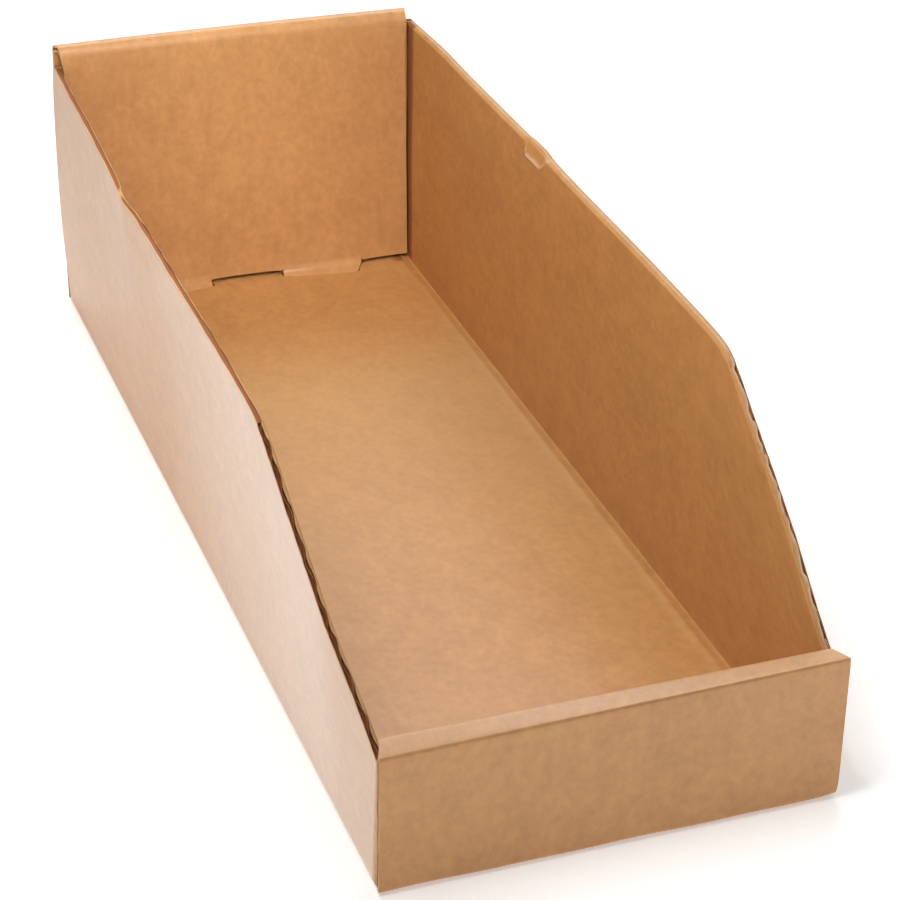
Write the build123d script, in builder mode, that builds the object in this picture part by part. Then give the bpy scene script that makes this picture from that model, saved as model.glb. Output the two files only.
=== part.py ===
# Open-topped storage bin, folded from one die-cut blank of corrugated board.
# Front lip at -Y, back wall at +Y, floor on z = 0, origin under the middle of the floor.
import math
import os

from build123d import *

# Driving dimensions, in millimetres
inside_width = 152.4       # between the side walls, at the floor
bin_length = 457.2         # front face to back face
board = 3.0                # thickness of the corrugated board
back_height = 119.0
front_height = 53.0
side_height = 113.0        # level stretch of the side walls
slope_start = 114.3        # from the front face to the corner where a side wall starts to slope down
slope_foot_height = 47.0   # side wall where it folds in behind the front
slope_corner_radius = 8.0

# Side walls are held at both ends only, so their free top edges stand outwards
front_lean = 1.0
back_lean = 1.7
bow_pull = 8.7             # middle control point of the bowed top edge

# Folds
fold_radius = 2.4          # outside of a fold
fold_rise = 6.0            # how far the floor's turned-up edge runs before the wall starts to lean
crease_width = 3.0         # pressed-in band along a floor fold
crease_depth = 0.5
layer_gap = 0.3            # between the layers of a rolled-over end wall

# Ears and inner panels inside the end walls
ear_length = 55.0
inner_side_gap = 0.7       # inner panel to side wall
inner_foot_gap = 1.3       # inner panel to floor, between its tabs

# Locking tabs under the inner panels, and their slots in the floor
tab_width = 36.0
tab_spacing = 69.0
tab_reach = 8.6            # how far a tab runs forward of its panel
tab_drop = 2.8             # how far it falls over that reach
tab_bend_height = 2.4      # bend above the floor
tab_narrowing = 2.5        # each side, towards the tip
tab_foot_gap = 0.3         # tip above the underside
slot_clearance = 0.4

# Corrugation, open at the sloped edges
liner = 0.4
flute_pitch = 6.4
flute_depth = 8.0          # how far the open ends run into the board
flute_width_share = 0.65   # of the pitch, at the liner
flute_height_share = 0.75  # of the space between the liners

# Dents that a strap left in the top edges
dent_place = 76.0          # along the length
dent_width = 12.0
dent_height = 9.0
dent_depth = 1.4

overrun = 5.0              # extra length of a cut past the board

# Worked-out places
half_width = inside_width / 2 + board
inner_half = inside_width / 2 - inner_side_gap
bin_end = bin_length / 2
ear_face = bin_end - board - layer_gap
panel_back = ear_face - board - layer_gap
panel_face = panel_back - board
panel_foot = board + inner_foot_gap
slope_top = -bin_end + slope_start
slope_foot = -ear_face + board
widest_half = half_width + max(front_lean, back_lean, bow_pull)
tab_slant = math.atan2(tab_drop, tab_reach)
tab_top = board + tab_bend_height
tab_under = tab_top - board / math.cos(tab_slant)
tip_place = panel_face - tab_reach


def lean_at(place, height):
    # Parabola along the length, rising in proportion from the turned-up edge to the top
    along = (place + ear_face) / (2 * ear_face)
    top_lean = (1 - along) ** 2 * front_lean + 2 * along * (1 - along) * bow_pull + along**2 * back_lean
    return top_lean * (height - fold_rise) / (side_height - fold_rise)


def wall_plan(height, front_out, pull_out, back_out):
    # Plan of the right side wall at one height, with an ear folded in at each end
    ear_tip = half_width - ear_length
    front_fold = (half_width + front_out, -ear_face + fold_radius)
    front_ear = (half_width + front_out - fold_radius, -ear_face)
    front_inside = (half_width + front_out - board, -ear_face + board)
    back_fold = (half_width + back_out, ear_face - fold_radius)
    back_ear = (half_width + back_out - fold_radius, ear_face)
    back_inside = (half_width + back_out - board, ear_face - board)
    with BuildSketch(Plane.XY.offset(height)) as plan:
        with BuildLine():
            Bezier(front_fold, (half_width + pull_out, 0), back_fold)
            RadiusArc(back_fold, back_ear, -fold_radius)
            Polyline(back_ear, (ear_tip, ear_face), (ear_tip, ear_face - board), back_inside)
            Bezier(back_inside, (half_width + pull_out - board, 0), front_inside)
            Polyline(front_inside, (ear_tip, -ear_face + board), (ear_tip, -ear_face), front_ear)
            RadiusArc(front_ear, front_fold, -fold_radius)
        make_face()
    return plan.sketch


# Side wall: bowed and leaning out, sloped down to the lip, with its two ears
wall_at_fold = wall_plan(fold_rise, 0, 0, 0)
wall_at_top = wall_plan(side_height, front_lean, bow_pull, back_lean)
with BuildPart() as side_walls:
    loft(sections=[wall_at_fold, wall_at_top], ruled=True)
    with BuildSketch(Plane.YZ) as wall_outline:
        with BuildLine():
            Polyline(
                (-bin_end, 0),
                (bin_end, 0),
                (bin_end, side_height),
                (slope_top, side_height),
                (slope_foot, slope_foot_height),
                (-bin_end, slope_foot_height),
                close=True,
            )
        make_face()
        slope_corner = wall_outline.vertices().sort_by_distance((slope_top, side_height))[0]
        fillet(slope_corner, slope_corner_radius)
    extrude(amount=widest_half, both=True, mode=Mode.INTERSECT)

# Open flutes: round-backed hollows, in turn against the inner and the outer liner
flute_half = flute_pitch * flute_width_share / 2
flute_bulge = (board - 2 * liner) * flute_height_share
slope_fall = (side_height - slope_foot_height) / (slope_top - slope_foot)
flute_count = int((side_height - slope_foot_height) / (flute_pitch / 2)) - 1
with BuildPart() as flutes:
    for number in range(flute_count):
        height = slope_foot_height + (number + 1) * flute_pitch / 2
        place = slope_foot + (height - slope_foot_height) / slope_fall
        outer_liner = half_width + lean_at(place, height) - liner
        inner_liner = half_width + lean_at(place, height) - board + liner
        foot, crown = (inner_liner, inner_liner + flute_bulge)
        if number % 2:
            foot, crown = (outer_liner, outer_liner - flute_bulge)
        with BuildSketch(Plane.XZ.offset(-place - flute_depth)):
            with BuildLine():
                ThreePointArc((foot, height - flute_half), (crown, height), (foot, height + flute_half))
                Line((foot, height + flute_half), (foot, height - flute_half))
            make_face()
        extrude(amount=flute_depth + flute_pitch)

# Strap dents, pushed into the inner face at the top edge
with BuildPart() as dents:
    dent_face = half_width + lean_at(dent_place, side_height) - board
    dent_foot_face = half_width + lean_at(dent_place, side_height - dent_height) - board
    with BuildSketch(Plane.XY.offset(side_height)) as dent_mouth:
        with BuildLine():
            Polyline(
                (dent_face - dent_depth, dent_place - dent_width / 2),
                (dent_face + dent_depth, dent_place),
                (dent_face - dent_depth, dent_place + dent_width / 2),
                close=True,
            )
        make_face()
    dent_foot = Vertex(dent_foot_face, dent_place, side_height - dent_height)
    loft(sections=[dent_mouth.sketch.face(), dent_foot])

# Floor with its turned-up edges, creased along the folds, with slots for the tabs
with BuildPart() as floor:
    with BuildSketch(Plane.XZ) as fold_section:
        with BuildLine():
            Polyline(
                (0, 0),
                (half_width, 0),
                (half_width, fold_rise),
                (half_width - board, fold_rise),
                (half_width - board, board - crease_depth),
                (half_width - board - crease_width, board),
                (0, board),
                close=True,
            )
        make_face()
        fold = fold_section.vertices().sort_by_distance((half_width, 0))[0]
        fillet(fold, fold_radius)
        mirror(about=Plane.YZ)
    extrude(amount=ear_face - fold_radius, both=True)
    slot_front = tip_place - slot_clearance
    slot_back = panel_face + (board - tab_under) / math.tan(tab_slant) + slot_clearance
    with BuildSketch(Plane.XY) as slots:
        with GridLocations(tab_spacing, slot_front + slot_back, 2, 2):
            Rectangle(tab_width + 2 * slot_clearance, slot_back - slot_front)
    extrude(amount=board, mode=Mode.SUBTRACT)


def rolled_end(height):
    # End wall drawn at the back: outer panel, strip over the ears, narrower inner panel
    with BuildPart() as wall:
        with BuildSketch(Plane.YZ) as hook:
            with BuildLine():
                Polyline(
                    (bin_end - board, 0),
                    (bin_end, 0),
                    (bin_end, height),
                    (panel_face, height),
                    (panel_face, panel_foot),
                    (panel_back, panel_foot),
                    (panel_back, height - board),
                    (bin_end - board, height - board),
                    close=True,
                )
            make_face()
            fold_places = [(bin_end, 0), (bin_end, height), (panel_face, height)]
            fillet([hook.vertices().sort_by_distance(place)[0] for place in fold_places], fold_radius)
        extrude(amount=half_width, both=True)
        # The strip's ends taper from the outer panel to the inner one
        with BuildSketch(Plane.XY.offset(height - board)):
            with BuildLine():
                Polyline(
                    (half_width, bin_end),
                    (inner_half, panel_face),
                    (inner_half, panel_face - overrun),
                    (half_width + overrun, panel_face - overrun),
                    (half_width + overrun, bin_end),
                    close=True,
                )
            make_face()
            mirror(about=Plane.YZ)
        extrude(amount=board, mode=Mode.SUBTRACT)
        # The inner panel fits between the side walls
        with BuildSketch(Plane.XY):
            with BuildLine():
                Polyline(
                    (inner_half, panel_back + layer_gap / 2),
                    (half_width + overrun, panel_back + layer_gap / 2),
                    (half_width + overrun, panel_face - overrun),
                    (inner_half, panel_face - overrun),
                    close=True,
                )
            make_face()
            mirror(about=Plane.YZ)
        extrude(amount=height - board, mode=Mode.SUBTRACT)
        # Floor running on into the fold at the foot of the outer panel
        with BuildSketch(Plane.YZ):
            with BuildLine():
                Polyline(
                    (panel_back, 0),
                    (bin_end - fold_radius, 0),
                    (bin_end - fold_radius, board),
                    (panel_back, board),
                    close=True,
                )
            make_face()
        extrude(amount=half_width - board, both=True)
    return wall.part


# Locking tabs at the back: bent forward and down into the slots, narrowing to their tips
with BuildPart() as tabs:
    back_under = tab_under + board * math.tan(tab_slant)
    foot_place = panel_face - (tab_under - tab_foot_gap) / math.tan(tab_slant)
    with BuildSketch(Plane.YZ):
        with BuildLine():
            Polyline(
                (panel_face, tab_top),
                (tip_place, tab_top - tab_drop),
                (tip_place, tab_foot_gap),
                (foot_place, tab_foot_gap),
                (panel_back, back_under),
                (panel_back, tab_top),
                close=True,
            )
        make_face()
    extrude(amount=tab_spacing / 2 + tab_width / 2, both=True)
    with BuildSketch(Plane.XY):
        with Locations((tab_spacing / 2, 0), (-tab_spacing / 2, 0)):
            Polygon(
                (tab_width / 2, panel_back),
                (-tab_width / 2, panel_back),
                (-tab_width / 2 + tab_narrowing, tip_place),
                (tab_width / 2 - tab_narrowing, tip_place),
                align=None,
            )
    extrude(amount=tab_top, mode=Mode.INTERSECT)

# The whole folded blank
back_wall = rolled_end(back_height)
front_wall = rolled_end(front_height)
with BuildPart() as folded_bin:
    add(side_walls.part)
    add(flutes.part, mode=Mode.SUBTRACT)
    add(dents.part, mode=Mode.SUBTRACT)
    mirror(about=Plane.YZ)
    add(floor.part)
    add(back_wall)
    mirror(front_wall, about=Plane.XZ)
    add(tabs.part)
    mirror(tabs.part, about=Plane.XZ)

folded_bin.part.label = "folded_bin"
os.makedirs("parts", exist_ok=True)
export_step(folded_bin.part, "parts/folded_bin.step")
print("folded_bin", len(folded_bin.part.solids()), "solid,", round(folded_bin.part.volume), "mm3")
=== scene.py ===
import math

import bmesh
import bpy
import numpy as np
from mathutils import Matrix, Vector


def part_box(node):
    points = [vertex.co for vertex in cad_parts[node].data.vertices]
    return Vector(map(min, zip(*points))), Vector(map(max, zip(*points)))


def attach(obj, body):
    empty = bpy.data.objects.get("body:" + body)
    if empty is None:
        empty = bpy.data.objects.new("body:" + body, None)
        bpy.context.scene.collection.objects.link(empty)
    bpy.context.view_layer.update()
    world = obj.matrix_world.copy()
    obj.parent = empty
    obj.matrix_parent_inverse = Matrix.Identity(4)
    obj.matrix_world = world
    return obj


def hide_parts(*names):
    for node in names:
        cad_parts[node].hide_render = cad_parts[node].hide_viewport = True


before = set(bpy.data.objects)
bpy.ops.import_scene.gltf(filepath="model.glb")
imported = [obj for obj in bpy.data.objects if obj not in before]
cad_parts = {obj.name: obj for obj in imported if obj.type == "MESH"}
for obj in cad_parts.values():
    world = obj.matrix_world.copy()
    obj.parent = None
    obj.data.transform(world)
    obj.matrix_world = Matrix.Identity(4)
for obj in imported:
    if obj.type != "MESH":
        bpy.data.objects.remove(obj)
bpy.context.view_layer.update()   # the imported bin: metres, +Z up, front lip at -Y
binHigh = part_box("folded_bin")[1]
print("frame loaded:", sorted(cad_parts))

# Corrugated board, and the layers of the two rolled-over end walls, counted in from the bin's end
board = {
    "thick": 0.0030,
    "liner": 0.00045,
    "flutePitch": 0.0064,
    "foldRadius": 0.0024,   # outside of a fold
    "earRadius": 0.0010,   # outside of the folds at the walls' ends
    "pinchRadius": 0.00025,   # inside of a fold
    "layerGap": 0.0003,
    "foldRise": 0.0060,   # height at which a side wall starts to lean
    "darkDepth": 0.0010,   # an opening this deep gets the full painted shade at its bottom
    "slantMost": 0.05,   # a groove's sides slant, by shares of the thickness and of the groove
    "slantShare": 0.2,
}
binEnd = binHigh.y
earFace = binEnd - board["thick"] - board["layerGap"]
panelBack = earFace - board["thick"] - board["layerGap"]
panelFace = panelBack - board["thick"]
trayEnd = earFace - board["thick"] - board["pinchRadius"]


def stationsAlong(places, counts):
    # Straight runs between the places, each cut into its count of even steps
    runs = [np.linspace(a, b, n, endpoint=False) for a, b, n in zip(places[:-1], places[1:], counts)]
    return np.concatenate(runs + [places[-1:]])


def smoothRise(value):
    # 0 below 0, 1 above 1, and an S between them
    share = np.clip(value, 0, 1)
    return share * share * (3 - 2 * share)


def unevenAlong(place, cell, seed):
    # Random knots from 0 to 1, one for each cell of length, joined by straight lines
    knots = np.random.default_rng(seed).random(4096)
    return np.interp(place / cell, np.arange(-2048, 2048), knots)


def roundedPath(corners, radii, counts):
    # Runs between the corners and an arc in each corner, taking turns; counts has the steps of each.
    # An arc is the weighted curve that starts and ends on the runs and is pulled to the corner.
    corners = np.array(corners, float)
    start = corners[0]
    parts = []
    for number, radius in enumerate(radii):
        corner, after = corners[number + 1], corners[number + 2]
        wayIn = (corner - corners[number]) / np.linalg.norm(corner - corners[number])
        wayOut = (after - corner) / np.linalg.norm(after - corner)
        halfTurn = math.acos(np.clip(wayIn @ wayOut, -1, 1)) / 2
        arcStart = corner - wayIn * radius * math.tan(halfTurn)
        arcEnd = corner + wayOut * radius * math.tan(halfTurn)
        run = np.linspace(0, 1, counts[2 * number], endpoint=False)[:, None]
        turn = np.linspace(0, 1, counts[2 * number + 1], endpoint=False)[:, None]
        pull = 2 * turn * (1 - turn) * math.cos(halfTurn)
        weight = (1 - turn) ** 2 + pull + turn**2
        parts.append(start + (arcStart - start) * run)
        parts.append(((1 - turn) ** 2 * arcStart + pull * corner + turn**2 * arcEnd) / weight)
        start = arcEnd
    run = np.linspace(0, 1, counts[-1] + 1)[:, None]
    parts.append(start + (corners[-1] - start) * run)
    return np.concatenate(parts)


def runAlong(path):
    # Distance from a path's start to each of its points
    return np.concatenate([[0], np.cumsum(np.hypot(*np.diff(path, axis=0).T))])


def boardSlab(outer, inner, place, active=None, joined=None, groove=None):
    # Closes the space between an outer and an inner grid of points. Cells that aren't active are left out,
    # and every edge round the rest gets a rim from face to face, with a groove between the two liners.
    # Edges whose both ends are joined get no rim: another slab goes on there.
    rows, columns = outer.shape[:2]
    count = rows * columns
    active = np.ones((rows - 1, columns - 1), bool) if active is None else active
    joined = np.zeros((rows, columns), bool) if joined is None else joined
    ids = np.arange(count).reshape(rows, columns)
    quads = np.stack([ids[:-1, :-1], ids[1:, :-1], ids[1:, 1:], ids[:-1, 1:]], -1)[active]
    flat = 0.5 * (outer + inner).reshape(-1, 3)
    middles = np.repeat(flat[quads].mean(1), 4, axis=0)
    edges = np.stack([quads, np.roll(quads, -1, 1)], -1).reshape(-1, 2)
    single = ~np.isin(edges @ [1, count], edges @ [count, 1])
    single &= ~joined.ravel()[edges].all(1)
    edges, middles = edges[single], middles[single]

    # Outward direction at each rim point: away from the cells beside it, square to its edges
    run = flat[edges[:, 1]] - flat[edges[:, 0]]
    run /= np.linalg.norm(run, axis=1, keepdims=True)
    away = flat[edges].mean(1) - middles
    away -= run * (away * run).sum(1, keepdims=True)
    away /= np.linalg.norm(away, axis=1, keepdims=True)
    outward = np.zeros((count, 3))
    np.add.at(outward, edges.ravel(), np.repeat(away, 2, axis=0))
    rim = np.unique(edges)
    outward = outward[rim] / np.linalg.norm(outward[rim], axis=1, keepdims=True)

    closed = grooveFor((rows, columns), 0.0)
    groove = closed if groove is None else groove
    depth, lipFrom, lipTo = (
        np.where(joined, closed[key], groove[key]).ravel()[rim] for key in ("depth", "from", "to")
    )
    along = groove["along"].reshape(-1, 3)[rim]
    inward = np.where(np.abs(along).sum(1, keepdims=True) > 0, along, -outward)
    slant = np.minimum(board["slantMost"], board["slantShare"] * (lipTo - lipFrom))
    shares = [lipFrom, lipFrom + slant, lipTo - slant, lipTo]
    sinks = [0 * depth, depth, depth, 0 * depth]
    outerRim, innerRim = outer.reshape(-1, 3)[rim], inner.reshape(-1, 3)[rim]
    rimRows = [
        outerRim + (innerRim - outerRim) * share[:, None] + inward * sink[:, None]
        for share, sink in zip(shares, sinks)
    ]

    # Faces: outer grid, inner grid turned over, and the rim's strips from row to row
    rimNumber = np.full(count, -1)
    rimNumber[rim] = np.arange(len(rim))
    ends = rimNumber[edges]
    rowIds = [edges] + [2 * count + k * len(rim) + ends for k in range(len(rimRows))] + [edges + count]
    strips = [
        np.stack([upper[:, 1], upper[:, 0], lower[:, 0], lower[:, 1]], -1)
        for upper, lower in zip(rowIds[:-1], rowIds[1:])
    ]
    faces = np.concatenate([quads, quads[:, ::-1] + count] + strips)
    points = np.concatenate([outer.reshape(-1, 3), inner.reshape(-1, 3)] + rimRows)
    placeFlat = place.reshape(-1, 2)
    places = np.concatenate([placeFlat, placeFlat] + [placeFlat[rim]] * len(rimRows))
    plain = np.zeros(count)
    # Painted shade: the deeper a groove sinks, the darker its colour
    dark = [np.clip(sink / board["darkDepth"], 0, 1) for sink in sinks]
    used, faces = np.unique(faces, return_inverse=True)
    return {
        "points": points[used],
        "faces": faces.reshape(-1, 4),
        "sheetPlace": places[used],
        "cutEdge": np.concatenate([plain, plain, np.ones(len(rimRows) * len(rim))])[used],
        "insideFace": np.concatenate([plain, plain + 1] + shares)[used],
        "paintedShade": np.concatenate([plain, plain] + dark)[used],
        "wornAndHighlight": np.zeros(len(used)),
    }


def grooveFor(shape, depth):
    # One groove all round a slab, which the caller then changes edge by edge
    liner = board["liner"] / board["thick"]
    return {
        "depth": np.full(shape, depth),
        "from": np.full(shape, liner),
        "to": np.full(shape, 1 - liner),
        "along": np.zeros((*shape, 3)),
    }


# Floor and side walls: one sheet, folded up along both long edges
tray = {
    "halfWidth": 0.0792,
    "floorHalf": 0.0759,   # flat floor, up to the fold
    "sideHeight": 0.1129,
    "kinkPlace": -0.1148,   # where the top edge starts to slope down
    "kinkRound": 0.0060,
    "slopeFoot": 0.0468,   # height of the slope's lower end
    "creaseWidth": 0.0034,
    "creaseDepth": 0.0007,
    "creaseBead": 0.0002,
    "beadAt": 1.15,   # the bead's distance from the fold and its width, in crease widths
    "beadWidth": 0.16,
    "openDepth": 0.0042,   # how far the flutes are open behind the sloped edges
    "steepSlope": 0.5,   # a top edge that falls this fast counts as fully sloped
    "openSteep": 0.2,
    "wallLength": 0.107,   # a wall's height on the flat sheet, above the fold
    "earLength": 0.055,
    "endSteps": 3,   # lines of points past the walls' ends, on the floor only
    "kinkLines": (-0.128, -0.104),   # lines of points stand closer here
    "strapLines": (0.048, 0.090),
    "wallLines": (0, 0.1, 0.8, 0.91, 0.978, 1),
    "wallSteps": (3, 7, 4, 12, 6),
    "creaseLines": 1.4,
}
# A strap was pulled over both top edges: it pressed the inner liner into a bevel with a bead under it
strap = {
    "front": 0.054,
    "frontFade": 0.012,
    "back": 0.0825,
    "backFade": 0.0025,
    "height": 0.0065,
    "steepness": 0.22,
    "bead": 0.00045,
    "beadWidth": 0.0009,
    # the bead gets a painted highlight
    "beadHighlight": 0.5,
    "outerShare": 0.35,
    "leftShare": 0.5,
}
# The cut top edges are crushed: the inner face rolls out and the outer face comes in a little
cutEdges = {
    "reach": 0.0007,
    "outerTuck": 0.05,
    "rollLeft": 0.22,
    "rollRight": 0.34,
    "slopeShare": 0.80,   # less where the flutes are cut across
    "grooveLeft": (0.16, 0.92),  # dark line between the liners, as shares of the thickness
    "grooveRight": (0.07, 0.17),
    "grooveDepth": 0.0006,
    "slopeGrooveLeft": (0.10, 0.88),
    "slopeGrooveRight": (0.07, 0.50),
    "dashLeft": 0.30,   # the openings close by this share between the flutes
    "dashRight": 0.70,
    "dashRise": 0.9,
    "phaseWander": 2.5,
    "trayGroove": 0.0004,   # depths of the grooves at the other edges
    "earGroove": 0.0005,
    "earTipGroove": 0.003,
    "tabGroove": 0.0008,
    "crackCells": (0.004, 0.007, 0.02, 0.012),   # lengths over which depth, width, place and phase change
    "wander": 0.10,
    "sideCells": (0.004, 0.0015, 0.006),
    "sideDepth": (0.0003, 0.0022),   # least value, and what is added where the crack is open
    "sideGroove": (0.2, 0.25),
    "jag": 0.0007,
    "jagCell": 0.0017,
    # pale of the right top edge: partly worn paper, partly painted highlight
    "wornAndHighlight": 0.78,
    "paleFrom": 0.15,   # share of the thickness from which the edge is painted pale, as worn paper and painted highlight
    "paleFade": 0.1,
    "openFrom": 0.002,   # past the kink, where the flutes start to show
    "gapReach": 0.0058,   # painted shadow of the gap on the wall, this far in front of the back panel
    "gapFade": 0.0030,
    "gapShade": 0.30,
    "gapEdge": 0.2,
    "closedAt": 0.076,   # the strap closed the groove here
    "closedWidth": 0.006,
    "closedShare": 0.8,
}
tabs = {
    "innerEdge": 0.0165,
    "outerEdge": 0.0535,
    "slit": 0.00003,
    "reach": 0.0072,
    "slantShare": 0.66,   # the tip's inner end is this much nearer to the panel
    "narrowing": 0.0040,
    "bendHeight": 0.0072,   # above the surface that the bin stands on
    "cornerHeight": 0.0043,
    "tipHeight": 0.0024,
    "bendRadius": 0.0034,
    "footGap": 0.0003,
    "slotClearance": 0.0006,
    "slotBack": 0.2217,
    "slotFade": 0.020,
    "pull": 0.0021,   # the tabs pull the panel's foot forward
    "pullMiddle": 0.0345,
    "pullReach": 0.020,
    "pullHeight": 0.013,
    "pullFade": 0.009,
}
endWalls = {
    "innerHalf": 0.0755,   # half the inner panel's width
    "footHeight": 0.0048,
    "footFlare": 0.00035,
    "flareHeight": 0.008,
    "flareFade": 0.004,
    "back": {
        "end": 1, "height": binHigh.z + 0.0008, "roll": 0.0046, "leftHalves": (0.0788, 0.0778, 0.0770),
        "rightHalves": (0.0770, 0.0764, 0.0760), "outerSteps": 14, "crown": 0.0005, "skew": -0.0010,
        "twist": (0, 0, 0), "score": 0.0, "seed": 101,
    },
    "front": {
        "end": -1, "height": 0.0530, "roll": 0.0010, "leftHalves": (0.0792, 0.0766, 0.0745),
        "rightHalves": (0.0792, 0.0766, 0.0745), "outerSteps": 56, "crown": 0.0, "skew": 0.0,
        "twist": (0.0008, 0.0003, 0.0014), "score": 0.00018, "seed": 151,
    },
    "scoreHeight": 0.0478,
    "scoreWidth": 0.0009,
    "scoreFrom": -0.060,
    "scoreTo": 0.014,
    "scoreFade": 0.010,
}
tabTip = panelFace - tabs["reach"]
slotFront = tabTip - tabs["slotClearance"]

# Shares of the half width at which the floor and the end walls have their lines of points
acrossHalf = stationsAlong(
    [
        0,
        (tabs["innerEdge"] - tabs["slotClearance"]) / tray["floorHalf"],
        (tabs["innerEdge"] - tabs["slit"]) / endWalls["innerHalf"],
        (tabs["innerEdge"] + tabs["slit"]) / endWalls["innerHalf"],
        (tabs["outerEdge"] - tabs["slit"]) / endWalls["innerHalf"],
        (tabs["outerEdge"] + tabs["slit"]) / endWalls["innerHalf"],
        (tabs["outerEdge"] + tabs["slotClearance"]) / tray["floorHalf"],
        1 - tray["creaseWidth"] / tray["floorHalf"] * tray["creaseLines"],
        1,
    ],
    [5, 1, 1, 9, 1, 1, 5, 7],
)
across = np.concatenate([-acrossHalf[:0:-1], acrossHalf])


def wallTop(y):
    # The lower of the level line and the sloped line, with the corner between them rounded by a hyperbola
    fall = (tray["sideHeight"] - tray["slopeFoot"]) / (tray["kinkPlace"] + trayEnd)
    past = y - tray["kinkPlace"]
    return tray["sideHeight"] + fall * (past - np.sqrt(past**2 + tray["kinkRound"] ** 2)) / 2


def floorCrease(x):
    # Inner face of the floor beside a fold: a low bead, then a pressed-in band that falls to the fold
    inFromFold = tray["floorHalf"] - np.abs(x)
    band = smoothRise(1 - inFromFold / tray["creaseWidth"])
    bead = np.exp(-((inFromFold / tray["creaseWidth"] - tray["beadAt"]) / tray["beadWidth"]) ** 2)
    return tray["creaseBead"] * bead - tray["creaseDepth"] * band


def mirrored(values, sign):
    # A right half that starts on the middle line, with its left half put before it
    return np.concatenate([sign * values[:0:-1], values])


def traySection():
    # Shares of the floor, the fold, then shares of the wall's height: x and z of both faces of the board
    floorX = acrossHalf[:-1] * tray["floorHalf"]
    wallShares = stationsAlong(tray["wallLines"], tray["wallSteps"])[1:]
    wallFoot = np.full(len(wallShares), board["foldRise"])
    section = []
    inside = (board["thick"], 1, board["pinchRadius"] / 2)
    for deep, pressed, radius in ((0, 0, board["foldRadius"]), inside):
        wallX, floorZ = tray["halfWidth"] - deep, deep - pressed * tray["creaseDepth"]
        corners = [(tray["floorHalf"], floorZ), (wallX, floorZ), (wallX, board["foldRise"])]
        fold = roundedPath(corners, [radius], [2, 6, 2])
        x = np.concatenate([floorX, fold[:, 0], np.full(len(wallShares), wallX)])
        z = np.concatenate([deep + pressed * floorCrease(floorX), fold[:, 1], wallFoot])
        section += [mirrored(x, -1), mirrored(z, 1)]
    rise = np.concatenate([np.zeros(len(floorX) + len(fold)), wallShares])
    return *section, mirrored(rise, 1), len(wallShares)


def tabPull(x):
    # How far the two tabs pull their panel forward: flat over each tab, fading by a fourth-power bell curve
    return tabs["pull"] * np.exp(-(((np.abs(x) - tabs["pullMiddle"]) / tabs["pullReach"]) ** 4))


def alongTab(x):
    # 0 at the tab's inner edge, 1 at its outer edge
    return np.clip((np.abs(x) - tabs["innerEdge"]) / (tabs["outerEdge"] - tabs["innerEdge"]), 0, 1)


def strapDent(y, below):
    # The bevel's foot is a curve along the wall; above it the liner is pressed in evenly, on it runs a bead
    foot = smoothRise((strap["back"] - y) / strap["backFade"])
    foot = foot * smoothRise((y - strap["front"]) / strap["frontFade"])
    pressed = strap["steepness"] * np.clip(strap["height"] * foot - below, 0, None)
    bead = strap["bead"] * foot * np.exp(-(((below - strap["height"] * foot) / strap["beadWidth"]) ** 2))
    return pressed, bead


def shapeSlots(x, y):
    # Lines of points at the slots follow the tabs: the front edge is slanted, the outer edge drawn in
    slotLines = [slotFront - tabs["slotFade"], slotFront, tabs["slotBack"]]
    near = np.interp(np.abs(y), slotLines, [0, 1, 0])[None, :]
    outerEdge = tabs["outerEdge"] + tabs["slotClearance"]
    fade = smoothRise((np.abs(x) - tabs["innerEdge"]) / tabs["slotFade"] + 1)
    fade *= smoothRise((outerEdge - np.abs(x)) / tabs["slotFade"] + 1)
    back = fade * (tabs["reach"] * tabs["slantShare"] * (1 - alongTab(x)) - tabPull(x))
    edgeLines = [tabs["pullMiddle"], outerEdge, tray["floorHalf"]]
    drawn = np.interp(np.abs(x), edgeLines, [0, tabs["narrowing"], 0])
    return x[:, None] - (np.sign(x) * drawn)[:, None] * near, y + np.sign(y) * back[:, None] * near


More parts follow.
